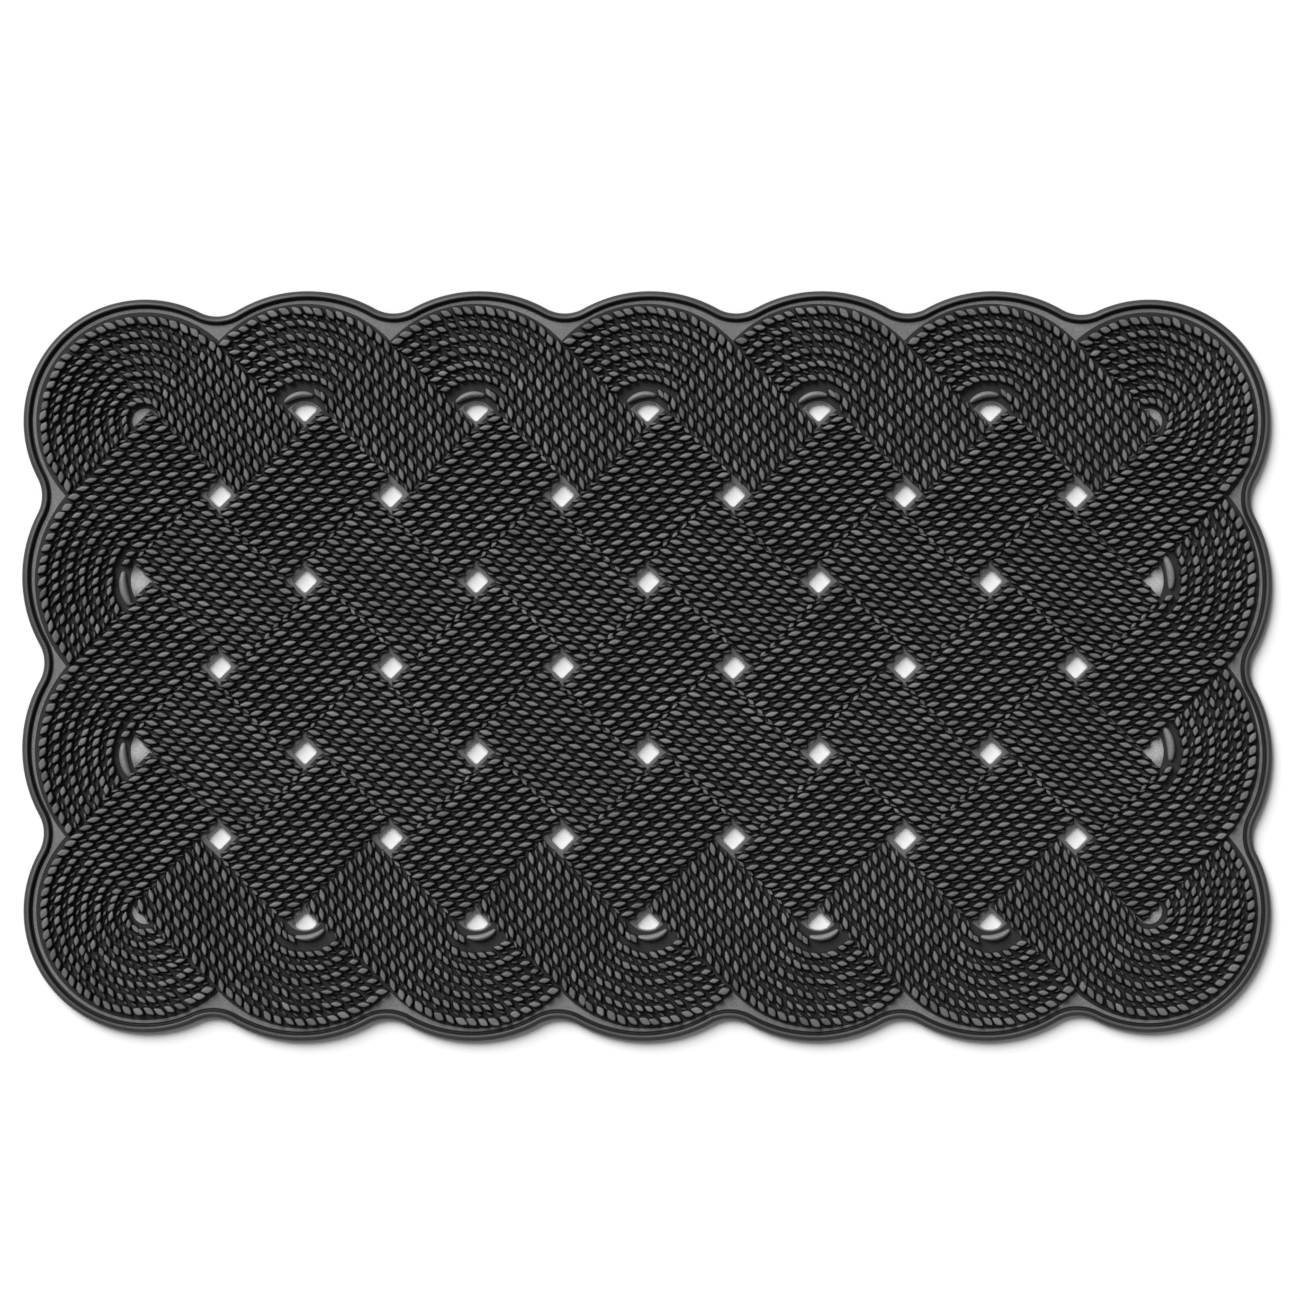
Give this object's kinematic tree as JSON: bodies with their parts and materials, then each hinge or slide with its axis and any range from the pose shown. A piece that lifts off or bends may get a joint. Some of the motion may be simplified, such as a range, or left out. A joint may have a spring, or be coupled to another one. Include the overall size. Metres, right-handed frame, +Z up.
{
  "type": "door mat",
  "caption": "Rectangular moulded rubber door mat with a scalloped edge, a raised lip, drain holes and a braid pattern built up from fields of short scraping pins.",
  "frame": {"origin": "middle of the flat underside, on the floor", "axes": "+X along the 750 mm length, +Y across the 450 mm width, +Z up out of the pinned face"},
  "size_m": [0.75, 0.45, 0.009],
  "materials": {
    "pin_rubber": "satin moulded pins with slightly rubbed, lighter heads",
    "sheet_rubber": "smooth satin moulded sheet",
    "edge_rubber": "smooth satin moulded lip"
  },
  "bodies": {
    "root": {"base_sheet": "sheet_rubber", "border_lip": "edge_rubber", "rising_pass_row1_1": "pin_rubber", "rising_pass_row1_2": "pin_rubber", "rising_pass_row1_3": "pin_rubber", "rising_pass_row1_4": "pin_rubber", "rising_pass_row1_5": "pin_rubber", "rising_pass_row2_1": "pin_rubber", "rising_pass_row2_2": "pin_rubber", "rising_pass_row2_3": "pin_rubber", "rising_pass_row2_4": "pin_rubber", "rising_pass_row2_5": "pin_rubber", "rising_pass_row3_1": "pin_rubber", "rising_pass_row3_2": "pin_rubber", "rising_pass_row3_3": "pin_rubber", "rising_pass_row3_4": "pin_rubber", "rising_pass_row3_5": "pin_rubber", "falling_pass_row1_1": "pin_rubber", "falling_pass_row1_2": "pin_rubber", "falling_pass_row1_3": "pin_rubber", "falling_pass_row1_4": "pin_rubber", "falling_pass_row1_5": "pin_rubber", "falling_pass_row1_6": "pin_rubber", "falling_pass_row2_1": "pin_rubber", "falling_pass_row2_2": "pin_rubber", "falling_pass_row2_3": "pin_rubber", "falling_pass_row2_4": "pin_rubber", "falling_pass_row2_5": "pin_rubber", "falling_pass_row2_6": "pin_rubber", "top_bight_1": "pin_rubber", "top_bight_2": "pin_rubber", "top_bight_3": "pin_rubber", "top_bight_4": "pin_rubber", "top_bight_5": "pin_rubber", "bottom_bight_1": "pin_rubber", "bottom_bight_2": "pin_rubber", "bottom_bight_3": "pin_rubber", "bottom_bight_4": "pin_rubber", "bottom_bight_5": "pin_rubber", "left_bight_1": "pin_rubber", "left_bight_2": "pin_rubber", "right_bight_1": "pin_rubber", "right_bight_2": "pin_rubber", "corner_bight_top_left": "pin_rubber", "corner_bight_top_right": "pin_rubber", "corner_bight_bottom_left": "pin_rubber", "corner_bight_bottom_right": "pin_rubber"}
  },
  "joints": []
}
